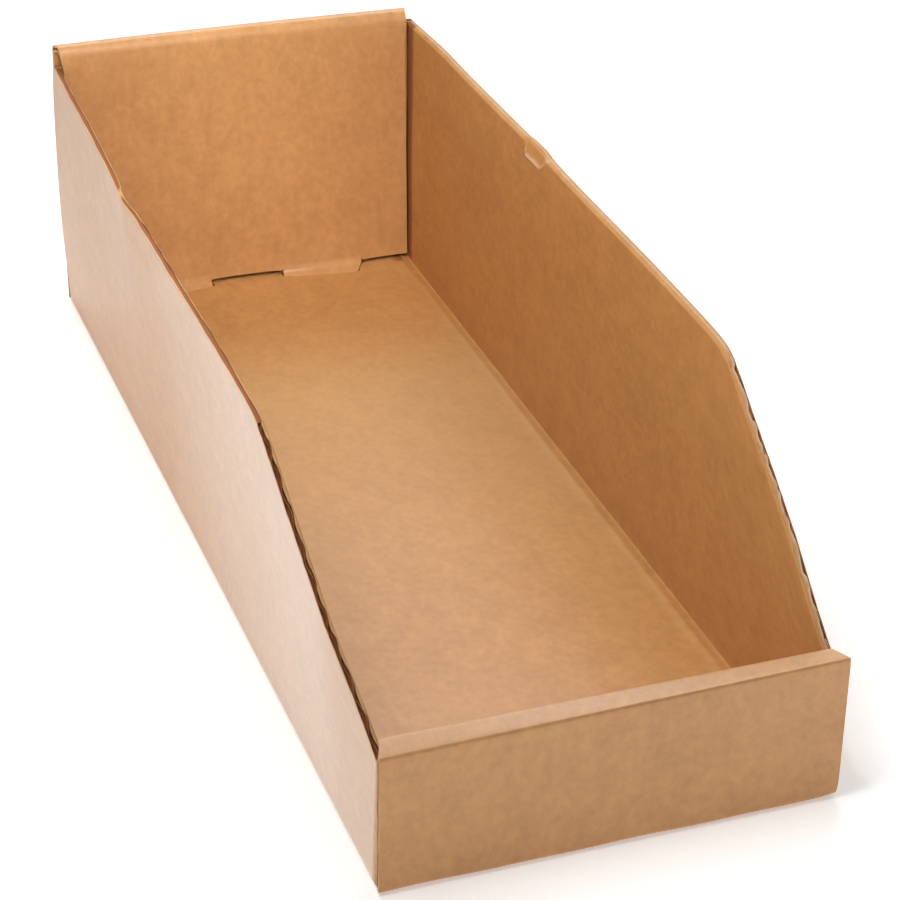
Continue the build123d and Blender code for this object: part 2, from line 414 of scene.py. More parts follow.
def makeTray():
    y = stationsAlong(
        np.array([
            -earFace, -trayEnd, -tabs["slotBack"], -slotFront, *tray["kinkLines"], *tray["strapLines"],
            slotFront, tabs["slotBack"], trayEnd, earFace,
        ]),
        [tray["endSteps"], 1, 8, 40, 20, 26, 60, 24, 8, 1, tray["endSteps"]],
    )
    outerX, outerZ, innerX, innerZ, rise, wallRows = traySection()
    shape = (len(outerX), len(y))
    top = wallTop(y)
    lift = rise[:, None] * (top - board["foldRise"])
    steep = smoothRise(np.gradient(top, y) / tray["steepSlope"])
    for row, seed in ((0, 71), (-1, 83)):
        lift[row] -= cutEdges["jag"] * steep * unevenAlong(y, cutEdges["jagCell"], seed) ** 2
    outer, inner = (
        np.stack([*shapeSlots(x, y), z[:, None] + lift], -1)
        for x, z in ((outerX, outerZ), (innerX, innerZ))
    )
    onWall = np.where(rise > 0, np.sign(outerX) * np.where(outerX < 0, strap["leftShare"], 1), 0)[:, None]
    pressed, bead = strapDent(y[None, :], top - inner[..., 2])
    inner[..., 0] += onWall * (pressed - bead)
    outer[..., 0] += onWall * strap["outerShare"] * pressed

    # Past the walls' ends the two long folds are rounded in plan like the ears above them
    radius = board["earRadius"]
    planRound = np.sqrt(np.clip(radius**2 - np.clip(np.abs(y) - (earFace - radius), 0, None) ** 2, 0, None))
    widest = tray["halfWidth"] - radius + planRound
    onFold = (rise[:, None] == 0) & (np.abs(outerX) > tray["floorHalf"])[:, None]
    outer[..., 0] = np.where(onFold, np.clip(outer[..., 0], -widest, widest), outer[..., 0])

    # Slots for the tabs, and no wall past the walls' ends
    middleX = 0.25 * (innerX[1:] + innerX[:-1]) + 0.25 * (outerX[1:] + outerX[:-1])
    middleY = np.abs(0.5 * (y[1:] + y[:-1]))
    overTab = (np.abs(middleX) > tabs["innerEdge"] - tabs["slotClearance"])
    overTab &= np.abs(middleX) < tabs["outerEdge"] + tabs["slotClearance"]
    overTab &= rise[1:] + rise[:-1] == 0
    active = ~(overTab[:, None] & ((middleY > slotFront) & (middleY < tabs["slotBack"]))[None, :])
    active &= ~((rise[1:] + rise[:-1] > 0)[:, None] & (middleY > trayEnd)[None, :])

    # Other slabs go on from the floor's two ends and from the walls' four ends
    joined = np.zeros(shape, bool)
    wallEnd = tray["endSteps"]
    earRows = np.concatenate([np.arange(wallRows + 1), np.arange(shape[0] - wallRows - 1, shape[0])])
    floorRows = np.abs(np.arange(shape[0]) - shape[0] // 2) < len(acrossHalf)
    joined[earRows, wallEnd] = joined[earRows, -1 - wallEnd] = True
    joined[floorRows, 0] = joined[floorRows, -1] = True

    # The level top edges are cut along the flutes, so only a dark line shows; the sloped edges are open
    isOpen = (steep > tray["openSteep"]) & (y < tray["kinkPlace"] - cutEdges["openFrom"])
    groove = grooveFor(shape, cutEdges["trayGroove"])
    for row, side, seed in ((0, "Left", 11), (-1, "Right", 23)):
        crackFrom, crackTo = cutEdges["groove" + side]
        openFrom, openTo = cutEdges["slopeGroove" + side]
        deeper, wider, aside, later = (
            unevenAlong(y, cell, seed + number) - 0.5 for number, cell in enumerate(cutEdges["crackCells"])
        )
        closed = np.exp(-(((y - cutEdges["closedAt"]) / cutEdges["closedWidth"]) ** 2))
        crack = cutEdges["grooveDepth"] * (1 + deeper) * (1 - closed)
        centre = 0.5 * (crackFrom + crackTo) + cutEdges["wander"] * aside * (crackTo - crackFrom)
        halfGap = 0.5 * (crackTo - crackFrom) * (1 + 0.5 * wider) * (1 - cutEdges["closedShare"] * closed)
        groove["depth"][row] = np.where(isOpen, steep * tray["openDepth"], crack)
        groove["along"][row] = np.where(isOpen[:, None], [0, 1, 0], [0, 0, -1])
        groove["from"][row] = np.where(isOpen, openFrom, centre - halfGap)
        phase = 2 * math.pi * top / board["flutePitch"] + cutEdges["phaseWander"] * (later + 0.5)
        dash = cutEdges["dash" + side] * smoothRise(0.5 + cutEdges["dashRise"] * np.sin(phase))
        groove["to"][row] = np.where(isOpen, openTo - (openTo - openFrom) * dash, centre + halfGap)
    acrossPlace = runAlong(np.stack([outerX, outerZ + rise * tray["wallLength"]], -1))
    acrossPlace -= acrossPlace[shape[0] // 2]
    place = np.stack(np.broadcast_arrays(acrossPlace[:, None], y), -1)
    ends = {"outer": outer, "inner": inner, "place": place, "wallRows": wallRows, "floorRows": floorRows}
    slab = boardSlab(outer, inner, place, active, joined, groove)

    # Pale on the right: worn paper with a painted highlight on the rolled-out inner liner at the top edge,
    # and a painted highlight on the strap's bead
    x, y, z = slab["points"].T
    inFrom = (tray["halfWidth"] - np.abs(x)) / board["thick"]
    below = wallTop(y) - z
    wornAndHighlight = cutEdges["wornAndHighlight"] * slab["cutEdge"] * (slab["paintedShade"] < 0.5)
    wornAndHighlight *= smoothRise((inFrom - cutEdges["paleFrom"]) / cutEdges["paleFade"])
    bead = strapDent(y, below)[1] / strap["bead"] * (inFrom > 0.5)
    wornAndHighlight = np.maximum(wornAndHighlight, strap["beadHighlight"] * bead)
    slab["wornAndHighlight"] = np.where((x > 0) & (z > board["foldRise"]), wornAndHighlight, 0)
    # Painted shadow of the gap on the wall's inner face, just in front of the back panel
    besidePanel = smoothRise((y - panelFace + cutEdges["gapReach"]) / cutEdges["gapFade"])
    besidePanel *= (z > board["thick"]) & (slab["insideFace"] > 0.5)
    slab["paintedShade"] = np.maximum(slab["paintedShade"], cutEdges["gapShade"] * besidePanel)
    return slab, ends


def makeEar(ends, side, end):
    # A wall's end, folded in behind the end wall: the wall's last line of points carried round the fold
    rows = ends["wallRows"] + 1
    lines = slice(-rows, None) if side > 0 else slice(rows - 1, None, -1)
    column = -1 - tray["endSteps"] if end > 0 else tray["endSteps"]
    height = ends["outer"][lines, column, 2]
    half, thick = tray["halfWidth"], board["thick"]
    earTip = half - tray["earLength"]
    plans = []
    for deep, radius in ((0, board["earRadius"]), (thick, board["pinchRadius"] / 2)):
        corners = [(half - deep, trayEnd), (half - deep, earFace - deep), (earTip, earFace - deep)]
        plans.append(roundedPath(corners, [radius], [1, 7, 10]))
    shape = (len(height), len(plans[0]))
    grids = [
        np.stack(np.broadcast_arrays(side * plan[:, 0], end * plan[:, 1], height[:, None]), -1)
        for plan in plans
    ]
    run = runAlong(plans[0])
    place = ends["place"][lines, column][:, None, :] + np.stack([0 * run, end * run], -1)[None]
    joined = np.zeros(shape, bool)
    joined[:, 0] = True
    groove = grooveFor(shape, cutEdges["earGroove"])
    groove["depth"][:, -1] = cutEdges["earTipGroove"]
    slab = boardSlab(grids[0], grids[1], place, None, joined, groove)
    behind = (half - thick - np.abs(slab["points"][:, 0])) / thick   # painted shade of the gap beside the inner panel
    shade = cutEdges["gapShade"] * smoothRise(behind / cutEdges["gapEdge"])
    slab["paintedShade"] = np.maximum(slab["paintedShade"], shade)
    return slab


def endLayer(wall, deep, fold, roll, counts):
    # One face of an end wall, this deep in the board: its path from the floor's end up, over the ears and
    # down to the bend line; below it the panel's foot stops, and a tab turns forward and down into its slot
    far, near, top, bend = binEnd - deep, panelFace + deep, wall["height"] - deep, tabs["bendHeight"]
    path = roundedPath(
        [(earFace, deep), (far, deep), (far, top), (near, top), (near, bend)], [fold, roll, roll], counts
    )
    slope = (tabs["cornerHeight"] - tabs["tipHeight"]) / tabs["reach"]
    under = deep * math.hypot(1, slope)
    corner = tabs["cornerHeight"] + slope * deep - under
    tab = roundedPath(
        [(near, bend), (near, corner), (tabTip, tabs["tipHeight"] - under)], [tabs["bendRadius"]], [2, 6, 6]
    )[1:]
    tab[:, 1] = np.maximum(tab[:, 1], tabs["footGap"])
    return path, tab, np.broadcast_to((near, endWalls["footHeight"]), tab.shape)


def shapeEndWall(grid, wall, panelRow, bendRow, onTab):
    # The tab's tip is slanted and its outer edge drawn in; the panel's foot is pulled forward and flares;
    # the strip's crown is a parabola across the width, and its outer edge is twisted against its inner edge
    x, y, z = grid[..., 0].copy(), np.abs(grid[..., 1]), grid[..., 2]
    rows = np.arange(grid.shape[1])
    tab = onTab[:, None] & (rows > bendRow)
    forward = np.where(tab, np.clip(panelFace - y, 0, None), 0)
    grid[..., 0] -= np.sign(x) * tabs["narrowing"] * forward / tabs["reach"] * alongTab(x)
    y = y + forward * tabs["slantShare"] * (1 - alongTab(x))
    pulled = tabPull(x) * smoothRise((tabs["pullHeight"] - z) / tabs["pullFade"])
    flare = smoothRise((endWalls["flareHeight"] - z) / endWalls["flareFade"])
    pulled += np.where(tab, 0, endWalls["footFlare"]) * flare
    grid[..., 1] = wall["end"] * (y - pulled * (rows >= panelRow))
    fromMiddle, upper = x / tray["halfWidth"], smoothRise(z / wall["height"] * 2 - 1)
    grid[..., 0] += wall["skew"] * z / wall["height"]
    inside, outside, turn = wall["twist"]
    outward = np.clip((y - panelFace) / (binEnd - panelFace), 0, 1)
    twist = inside * (1 - outward) + (outside + turn * fromMiddle) * outward
    grid[..., 2] += (wall["crown"] * (1 - fromMiddle**2) + twist) * upper


def makeEndWall(ends, wall):
    # Floor's end, outer panel, strip over the ears and inner panel: one section, carried across the width
    end, seed = wall["end"], wall["seed"]
    counts = [2, 8, wall["outerSteps"], 6, 4, 6, 16]
    pinch, roll = board["pinchRadius"], wall["roll"]
    outerParts = endLayer(wall, 0, board["foldRadius"], roll, counts)
    innerParts = endLayer(wall, board["thick"], pinch, max(roll - board["thick"], pinch), counts)
    bendRow = len(outerParts[0]) - 1
    tabRows = len(outerParts[1])
    onTab = np.abs(across) * endWalls["innerHalf"]
    onTab = (onTab > tabs["innerEdge"]) & (onTab < tabs["outerEdge"])
    rowAt = np.cumsum([0] + counts)
    topRow, panelRow = rowAt[3], rowAt[6]
    widthRows = [0, rowAt[1] + counts[1] // 2, *rowAt[3:7], panelRow + 2]
    shape = (len(across), bendRow + 1 + tabRows)
    left, right = (
        np.interp(
            np.arange(shape[1]),
            widthRows,
            [tray["floorHalf"], tray["halfWidth"], top, top, strip, under, endWalls["innerHalf"]],
        )
        for top, strip, under in (wall["leftHalves"], wall["rightHalves"])
    )
    x = across[:, None] * np.where(across[:, None] < 0, left, right)
    grids = []
    for path, tabPath, footPath in (outerParts, innerParts):
        below = np.where(onTab[:, None, None], tabPath, footPath)
        section = np.concatenate([np.broadcast_to(path, (len(across), *path.shape)), below], 1)
        grids.append(np.stack([x, end * section[..., 0], section[..., 1]], -1))
    outer, inner = grids
    fade = np.clip(1 - (np.abs(inner[..., 1]) - earFace) / board["pinchRadius"], 0, 1)
    inner[..., 2] += floorCrease(inner[..., 0]) * fade * (np.arange(shape[1]) < counts[0])

    # A shallow score line on part of the outer panel
    onScore = smoothRise((x - endWalls["scoreFrom"]) / endWalls["scoreFade"])
    onScore *= smoothRise((endWalls["scoreTo"] - x) / endWalls["scoreFade"])
    onScore *= np.arange(shape[1]) < topRow
    scoreAway = (outer[..., 2] - endWalls["scoreHeight"]) / endWalls["scoreWidth"]
    outer[..., 1] -= end * wall["score"] * onScore * np.exp(-(scoreAway**2))
    for grid in grids:
        shapeEndWall(grid, wall, panelRow, bendRow, onTab)
    column = -1 if end > 0 else 0
    outer[:, 0] = ends["outer"][ends["floorRows"], column]
    inner[:, 0] = ends["inner"][ends["floorRows"], column]

    active = np.ones((shape[0] - 1, shape[1] - 1), bool)
    active[:, bendRow:] = (onTab[1:] & onTab[:-1])[:, None]
    active[:, bendRow] |= ~onTab[1:] & ~onTab[:-1]
    joined = np.zeros(shape, bool)
    joined[:, 0] = True

    # The sides are cut along the flutes and crushed, so they show a crack that comes and goes
    run = runAlong(outerParts[0])
    run = np.concatenate([run, run[-1] + board["liner"] * np.arange(1, tabRows + 1)])
    groove = grooveFor(shape, cutEdges["tabGroove"])
    longCell, shortCell, placeCell = cutEdges["sideCells"]
    (shallow, deeper), (near, apart) = cutEdges["sideDepth"], cutEdges["sideGroove"]
    for row in (0, -1):
        crack = unevenAlong(run, longCell, seed + row) * unevenAlong(run, shortCell, seed + row + 5)
        groove["depth"][row] = shallow + deeper * crack
        groove["from"][row] = near + apart * unevenAlong(run, placeCell, seed + row + 9)
        groove["to"][row] = groove["from"][row] + near + apart * crack
    place = np.stack(np.broadcast_arrays(x, end * (earFace + run)), -1)
    return boardSlab(outer, inner, place, active, joined, groove)


# How the folded sheet stands: free top edges bowed out, the front lip a little turned and tipped
stance = {
    "left": {
        "frontLean": 0.0034, "bowPull": 0.0091, "backLean": 0.0024, "backRise": -0.0022,
        "bulge": 0.0026, "bulgeAt": 0.0715, "bulgeReach": 0.026, "bulgePower": 3,
        "frontTuck": 0.0062, "backTuck": 0.0011, "belly": 0.0016, "kinkFlare": 0.0005, "kinkShift": 0.0012,
    },
    "right": {
        "frontLean": 0.0020, "bowPull": 0.0067, "backLean": 0.0020, "backRise": 0.0014,
        "bulge": 0.0010, "bulgeAt": 0.070, "bulgeReach": 0.012, "bulgePower": 4,
        "frontTuck": 0.0038, "backTuck": 0.0018, "belly": 0.0, "kinkFlare": 0.0004, "kinkShift": 0.0030,
    },
    "bulgeRound": 0.006,
    "riseFrom": 0.15,
    "riseLength": 0.075,
    "tuckFrom": 0.175,   # the ears hold the walls' ends in, from here on
    "tuckLength": 0.050,
    "bellyFrom": 0.08,
    "bellyLength": 0.14,
    "flareAt": -0.098,
    "flareReach": 0.030,
    "kinkNear": 0.015,
    "kinkFade": 0.085,
    "waviness": 0.00025,
    "waveAlong": (41, 23),   # radians per metre along and up the wall, of two waves
    "waveUp": (-9, 67),
    "waveFade": 3,
    "lipTurn": 0.0020,
    "lipTip": 0.0017,
    "lipFrom": 0.195,
    "lipTo": 0.219,
    "footWave": 0.0006,
    "footFade": 0.005,
    "footTurns": (95, 171),
    "cornerCrush": 0.0005,
    "cornerPush": (-1.0, 0.5, 0.6),
    "cornerReach": 0.0040,
}


def pinchEdges(points):
    # Near a cut top edge the inner face is pushed out and the outer face in, in proportion to their places
    # in the thickness, fading by a bell curve of the distance below the edge
    x, y, z = points.T
    inFrom = (tray["halfWidth"] - np.abs(x)) / board["thick"]
    share = np.clip(inFrom, 0, 1)
    crush = np.exp(-((np.clip(wallTop(y) - z, 0, None) / cutEdges["reach"]) ** 2))
    roll = np.where(x < 0, cutEdges["rollLeft"], cutEdges["rollRight"])
    kink, rounded = tray["kinkPlace"], tray["kinkRound"]
    crush *= np.interp(y, [kink - rounded, kink + rounded], [cutEdges["slopeShare"], 1])
    push = cutEdges["outerTuck"] * (1 - share) - roll * share
    shift = board["thick"] * crush * push * np.clip(2 - inFrom, 0, 1)
    return points - (np.sign(x) * shift)[:, None] * np.array([1.0, 0, 0])


def leanOut(points):
    # Outward shift of a side wall: a parabola along its length, growing in proportion to the height, held in
    # at both ends, and a bulge that falls off exponentially on both sides of the strap's place
    x, y, z = points.T
    along = (y + earFace) / (2 * earFace)
    rise = np.clip((z - board["foldRise"]) / (tray["sideHeight"] - board["foldRise"]), 0, None)
    shift, slide, lift = np.zeros((3, len(points)))
    for side, name in ((-1, "left"), (1, "right")):
        lean = stance[name]
        bow = (1 - along) ** 2 * lean["frontLean"] + along**2 * lean["backLean"]
        bow += 2 * along * (1 - along) * lean["bowPull"]
        away = np.hypot(y - lean["bulgeAt"], stance["bulgeRound"])
        bump = lean["bulge"] * np.exp(-away / lean["bulgeReach"]) * rise ** lean["bulgePower"]
        bow += lean["kinkFlare"] * np.exp(-(((y - stance["flareAt"]) / stance["flareReach"]) ** 2))
        bow -= lean["frontTuck"] * smoothRise((-y - stance["tuckFrom"]) / stance["tuckLength"])
        bow -= lean["backTuck"] * smoothRise((y - stance["tuckFrom"]) / stance["tuckLength"])
        belly = lean["belly"] * smoothRise((y - stance["bellyFrom"]) / stance["bellyLength"])
        bump += belly * 4 * rise * np.clip(1 - rise, 0, 1)
        first = stance["waveAlong"][0] * y + stance["waveAlong"][1] * z + side
        second = stance["waveUp"][1] * z + stance["waveUp"][0] * y
        wave = stance["waviness"] * np.sin(first) * np.sin(second) * smoothRise(rise * stance["waveFade"])
        onSide = x * side > 0
        shift += onSide * side * (bow * rise + bump + wave)
        kink, reach = tray["kinkPlace"], stance["kinkNear"]
        near = np.interp(y, [-trayEnd, kink - reach, kink + reach, kink + stance["kinkFade"]], [0, 1, 1, 0])
        slide -= onSide * lean["kinkShift"] * near * np.clip(rise, 0, 1)
        raised = smoothRise((y - stance["riseFrom"]) / stance["riseLength"])
        lift += onSide * lean["backRise"] * rise * raised
    return points + np.stack([shift, slide, lift], -1)


def tipLip(points):
    # Everything at the front end moves with the lip: turned in plan and tipped forward, as straight lines in
    # the width and the height; its foot follows two sine waves, and one corner is crushed by a bell curve
    x, y, z = points.T
    weight = smoothRise((-y - stance["lipFrom"]) / (stance["lipTo"] - stance["lipFrom"]))
    slide = stance["lipTurn"] * x / tray["halfWidth"] - stance["lipTip"] * z / endWalls["front"]["height"]
    atFoot = smoothRise((-y - earFace) / board["thick"]) * np.exp(-z / stance["footFade"])
    slow, quick = stance["footTurns"]
    wave = 0.5 + 0.25 * np.sin(slow * x + 1) + 0.25 * np.sin(quick * x)
    corner = np.stack([x - tray["halfWidth"], y + binEnd, z], -1)
    crush = stance["cornerCrush"] * np.exp(-((np.linalg.norm(corner, axis=1) / stance["cornerReach"]) ** 2))
    shift = np.stack([0 * slide, weight * slide, stance["footWave"] * wave * atFoot], -1)
    return points + shift + crush[:, None] * np.array(stance["cornerPush"])


def addObject(name, data):
    made = bpy.data.objects.new(name, data)
    bpy.context.scene.collection.objects.link(made)
    return made


meshing = {
    "weld": 2e-7,   # points closer than this are one
    "sharpAngle": 32,
}


def meshPiece(name, slabs, material):
    # Slabs joined along the lines of points that they share, as one closed sheet
    starts = np.cumsum([0] + [len(slab["points"]) for slab in slabs])
    points = np.concatenate([slab["points"] for slab in slabs])
    faces = np.concatenate([slab["faces"] + start for slab, start in zip(slabs, starts)])
    mesh = bpy.data.meshes.new(name)
    mesh.from_pydata(points, [], faces)
    place = np.concatenate([slab["sheetPlace"] for slab in slabs])
    placeData = mesh.attributes.new("sheetPlace", "FLOAT_VECTOR", "POINT").data
    placeData.foreach_set("vector", np.pad(place, ((0, 0), (0, 1))).ravel())
    for attribute in ("cutEdge", "insideFace", "paintedShade", "wornAndHighlight"):
        values = np.concatenate([slab[attribute] for slab in slabs])
        mesh.attributes.new(attribute, "FLOAT", "POINT").data.foreach_set("value", values)
    work = bmesh.new()
    work.from_mesh(mesh)
    bmesh.ops.remove_doubles(work, verts=work.verts, dist=meshing["weld"])
    bmesh.ops.recalc_face_normals(work, faces=work.faces)
    openEdges = sum(not edge.is_manifold for edge in work.edges)
    work.to_mesh(mesh)
    work.free()
    mesh.shade_smooth()
    mesh.set_sharp_from_angle(angle=math.radians(meshing["sharpAngle"]))
    mesh.materials.append(material)
    piece = addObject(name, mesh)
    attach(piece, "root")
    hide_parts("folded_bin")
    print(name, 2 * len(mesh.polygons), "triangles,", openEdges, "open edges")


# Wavy paper between the liners, where the sloped edges show it
fluting = {
    "paper": 0.00028,
    "left": {"centre": 0.50, "swing": 0.00088},
    "right": {"centre": 0.28, "swing": 0.00050},
    "recess": 0.0011,
    "recessRange": (0.1, 1.4),   # least value, and what is added where the paper is torn back most
    "swingRange": (0.6, 0.4),
    "cells": (0.0024, 0.011, 0.009),   # lengths over which recess, phase and swing change
    "phaseShift": 0.7,
    "phaseWander": 2.2,
    "depth": 0.0040,
    "footGap": 0.0012,
    "topGap": 0.0022,
    "pastKink": 0.01,
    "edgeSteps": 2000,
    "stepsPerFlute": 14,
    "shade": 0.03,
}


def makeFluting(side):
    # A cosine wave up the wall, carried along the flutes from just behind the sloped edge
    pitch = board["flutePitch"]
    foot, top = tray["slopeFoot"] + fluting["footGap"], tray["sideHeight"] - fluting["topGap"]
    z = np.linspace(foot, top, int((top - foot) / pitch * fluting["stepsPerFlute"]))
    yFine = np.linspace(-trayEnd, tray["kinkPlace"] + fluting["pastKink"], fluting["edgeSteps"])
    edge = np.interp(z, wallTop(yFine), yFine)
    wave = fluting["left" if side < 0 else "right"]
    torn, later, wider = (
        unevenAlong(z, cell, seed + side) for cell, seed in zip(fluting["cells"], (31, 41, 51))
    )
    least, added = fluting["recessRange"]
    recess = fluting["recess"] * (least + added * torn**2)
    depth = np.linspace(0, 1, 4)
    phase = 2 * math.pi * z / pitch + fluting["phaseShift"] * side + fluting["phaseWander"] * later
    least, added = fluting["swingRange"]
    swing = wave["swing"] * (least + added * wider)
    x = tray["halfWidth"] - wave["centre"] * board["thick"] + swing * np.cos(phase)
    slope = np.gradient(x, z)
    normal = np.stack([np.ones_like(slope), -slope], -1) / np.sqrt(1 + slope**2)[:, None]
    y = edge[:, None] + recess[:, None] + depth * (fluting["depth"] - recess[:, None])
    grids = []
    for shift in (0.5, -0.5):
        xs = side * (x + shift * fluting["paper"] * normal[:, 0])
        zs = z + shift * fluting["paper"] * normal[:, 1]
        grids.append(np.stack(np.broadcast_arrays(xs[:, None], y, zs[:, None]), -1))
    place = np.stack(np.broadcast_arrays(z[:, None], y), -1)
    slab = boardSlab(grids[0], grids[1], place)
    # Painted shade: the further behind the cut edge the paper lies, the darker it is
    behind = slab["points"][:, 1] - np.interp(slab["points"][:, 2], wallTop(yFine), yFine)
    slab["paintedShade"] = np.clip(fluting["shade"] + behind / fluting["depth"], 0, 1)
    slab["cutEdge"] *= 0
    return slab


def setInputs(tree, node, inputs):
    # Each input is either linked from a socket or set to a value
    for key, value in inputs.items():
        if isinstance(value, bpy.types.NodeSocket):
            tree.links.new(value, node.inputs[key])
        else:
            node.inputs[key].default_value = value


def addNode(tree, kind, inputs, **settings):
    made = tree.nodes.new(kind)
    for key, value in settings.items():
        setattr(made, key, value)
    setInputs(tree, made, inputs)
    return made


def calc(tree, operation, first, second):
    return addNode(tree, "ShaderNodeMath", {0: first, 1: second}, operation=operation).outputs[0]


def noiseOn(tree, place, layer):
    # Cloudy noise on the flat sheet, with its own scale across and along the flutes
    scaled = addNode(
        tree, "ShaderNodeVectorMath", {0: place, 1: (*layer["stretch"], 1.0)}, operation="MULTIPLY"
    )
    inputs = {"Scale": 1.0, "Detail": layer["detail"], "Roughness": layer["roughness"]}
    return addNode(tree, "ShaderNodeTexNoise", inputs | {"Vector": scaled.outputs[0]}).outputs["Fac"]


def spread(tree, value, low, high, toLow, toHigh):
    inputs = {"Value": value, "From Min": low, "From Max": high, "To Min": toLow, "To Max": toHigh}
    return addNode(tree, "ShaderNodeMapRange", inputs).outputs["Result"]


def mixTone(tree, factor, first, second):
    mix = addNode(tree, "ShaderNodeMix", {0: factor, 6: first, 7: second}, data_type="RGBA")
    return mix.outputs[2]


# Brown kraft liners, the outer one paler: cloudy pulp, mottling, fibres along the sheet, a few dark specks,
# faint washboard of the flutes, paler torn paper on cut edges, and painted shade in dark red-brown where an
# opening is deep or beside a gap; also a painted sheen on the floor and painted highlights on the right edge
kraft = {
    "outerDark": (0.452, 0.2235, 0.0828, 1),
    "outerPale": (0.640, 0.3275, 0.129, 1),
    "innerDark": (0.434, 0.203, 0.064, 1),
    "innerPale": (0.617, 0.309, 0.105, 1),
    "layers": {   # noise that mixes the dark and the pale tone
        "clouds": {"stretch": (26, 19), "detail": 2.0, "roughness": 0.6, "share": 0.18},
        "mottle": {"stretch": (310, 240), "detail": 3.0, "roughness": 0.6, "share": 0.38},
        "blotch": {"stretch": (120, 75), "detail": 2.0, "roughness": 0.6, "share": 0.30},
        "fibres": {"stretch": (1900, 420), "detail": 3.0, "roughness": 0.7, "share": 0.14},
    },
    "toneRange": (0.33, 0.67),
    "specks": {"stretch": (640, 640), "detail": 1.0, "roughness": 0.4, "range": (0.77, 0.80), "share": 0.5},
    "speck": (0.28, 0.135, 0.055, 1),
    "cutPaper": (0.44, 0.265, 0.15, 1),
    "cutShare": 0.6,
    # pale tone: worn paper and painted highlight on the right top edge and the strap's bead
    "wornPaper": (0.80, 0.56, 0.38, 1),
    # painted shade, standing in for the shade deep in openings and gaps
    "deep": (0.26, 0.080, 0.024, 1),
    "deepFrom": 0.3,   # share of the dark depth at which the painted shade's full tone is reached
    "deepShare": 0.9,
    "roughness": 0.32,
    "tornRoughness": 0.95,
    "specular": 0.36,
    "coat": 1.0,   # sheen of the outer liner, growing towards the front end
    "coatRoughness": 0.25,
    "coatFrom": 0.04,
    "coatTo": -0.15,
    "bumpHeight": 0.00012,
    "bumpStrength": 0.35,
    "bumpShares": {"fibres": 0.55, "mottle": 0.5},
    "ridgeShare": 0.10,
    "rubbed": (0.545, 0.382, 0.198, 1),   # painted sheen: the floor's liner paler, most behind its middle
    "paintedSheenShare": 0.36,
    "paintedSheenAcross": (0.072, 0.080),
    "paintedSheenRise": (0.18, 0.10),
    "paintedSheenFade": (0.07, -0.11),
    "paintedSheenLeft": 0.15,
}


def makeKraft(name, colours):
    material = bpy.data.materials.new(name)
    material.use_nodes = True
    tree = material.node_tree
    place = addNode(tree, "ShaderNodeAttribute", {}, attribute_name="sheetPlace").outputs["Vector"]
    cut, inside, paintedShade, wornAndHighlight = (
        addNode(tree, "ShaderNodeAttribute", {}, attribute_name=key).outputs["Fac"]
        for key in ("cutEdge", "insideFace", "paintedShade", "wornAndHighlight")
    )
    split = addNode(tree, "ShaderNodeSeparateXYZ", {0: place})
    acrossFlutes, alongFlutes = split.outputs["X"], split.outputs["Y"]
    noises = {key: noiseOn(tree, place, layer) for key, layer in colours["layers"].items()}
    tone = 0.0
    for key, noise in noises.items():
        tone = calc(tree, "ADD", tone, calc(tree, "MULTIPLY", noise, colours["layers"][key]["share"]))
    tone = spread(tree, tone, *colours["toneRange"], 0.0, 1.0)
    outerTone = mixTone(tree, tone, colours["outerDark"], colours["outerPale"])
    innerTone = mixTone(tree, tone, colours["innerDark"], colours["innerPale"])
    colour = mixTone(tree, inside, outerTone, innerTone)
    # Painted sheen on the floor's liner, most behind its middle and fading towards the front
    fromMiddle = calc(tree, "ABSOLUTE", acrossFlutes, 0.0)
    rubbed = spread(tree, fromMiddle, *colours["paintedSheenAcross"], colours["paintedSheenShare"], 0.0)
    rubbed = calc(tree, "MULTIPLY", rubbed, spread(tree, alongFlutes, *colours["paintedSheenRise"], 0.0, 1.0))
    fade = spread(tree, alongFlutes, *colours["paintedSheenFade"], 1.0, colours["paintedSheenLeft"])
    rubbed = calc(tree, "MULTIPLY", calc(tree, "MULTIPLY", rubbed, fade), inside)
    speckNoise = noiseOn(tree, place, colours["specks"])
    specks = spread(tree, speckNoise, *colours["specks"]["range"], 0.0, colours["specks"]["share"])
    cutShare = calc(tree, "MULTIPLY", cut, colours["cutShare"])
    dark = spread(tree, paintedShade, 0.0, colours["deepFrom"], 0.0, colours["deepShare"])
    shares = {"rubbed": rubbed, "speck": specks, "cutPaper": cutShare, "wornPaper": wornAndHighlight, "deep": dark}
    for key, share in shares.items():
        colour = mixTone(tree, share, colour, colours[key])
    torn = calc(tree, "MAXIMUM", dark, cut)
    inputs = {
        "Base Color": colour,
        "Roughness": spread(tree, torn, 0.0, 1.0, colours["roughness"], colours["tornRoughness"]),
        "Specular IOR Level": colours["specular"],
        "Coat Roughness": colours["coatRoughness"],
    }
    if colours["coat"] > 0:
        plain, outside = (calc(tree, "SUBTRACT", 1.0, share) for share in (torn, inside))
        outside = calc(tree, "MULTIPLY", plain, outside)
        outside = calc(tree, "MULTIPLY", outside, calc(tree, "GREATER_THAN", alongFlutes, -trayEnd))
        sheen = spread(tree, alongFlutes, colours["coatTo"], colours["coatFrom"], colours["coat"], 0.0)
        inputs["Coat Weight"] = calc(tree, "MULTIPLY", outside, sheen)
    turns = calc(tree, "MULTIPLY", acrossFlutes, 2 * math.pi / board["flutePitch"])
    height = calc(tree, "MULTIPLY", calc(tree, "SINE", turns, 0.0), colours["ridgeShare"])
    for key, share in colours["bumpShares"].items():
        height = calc(tree, "ADD", height, calc(tree, "MULTIPLY", noises[key], share))
    bump = {"Strength": colours["bumpStrength"], "Distance": colours["bumpHeight"], "Height": height}
    inputs["Normal"] = addNode(tree, "ShaderNodeBump", bump).outputs["Normal"]
    setInputs(tree, tree.nodes["Principled BSDF"], inputs)
    return material


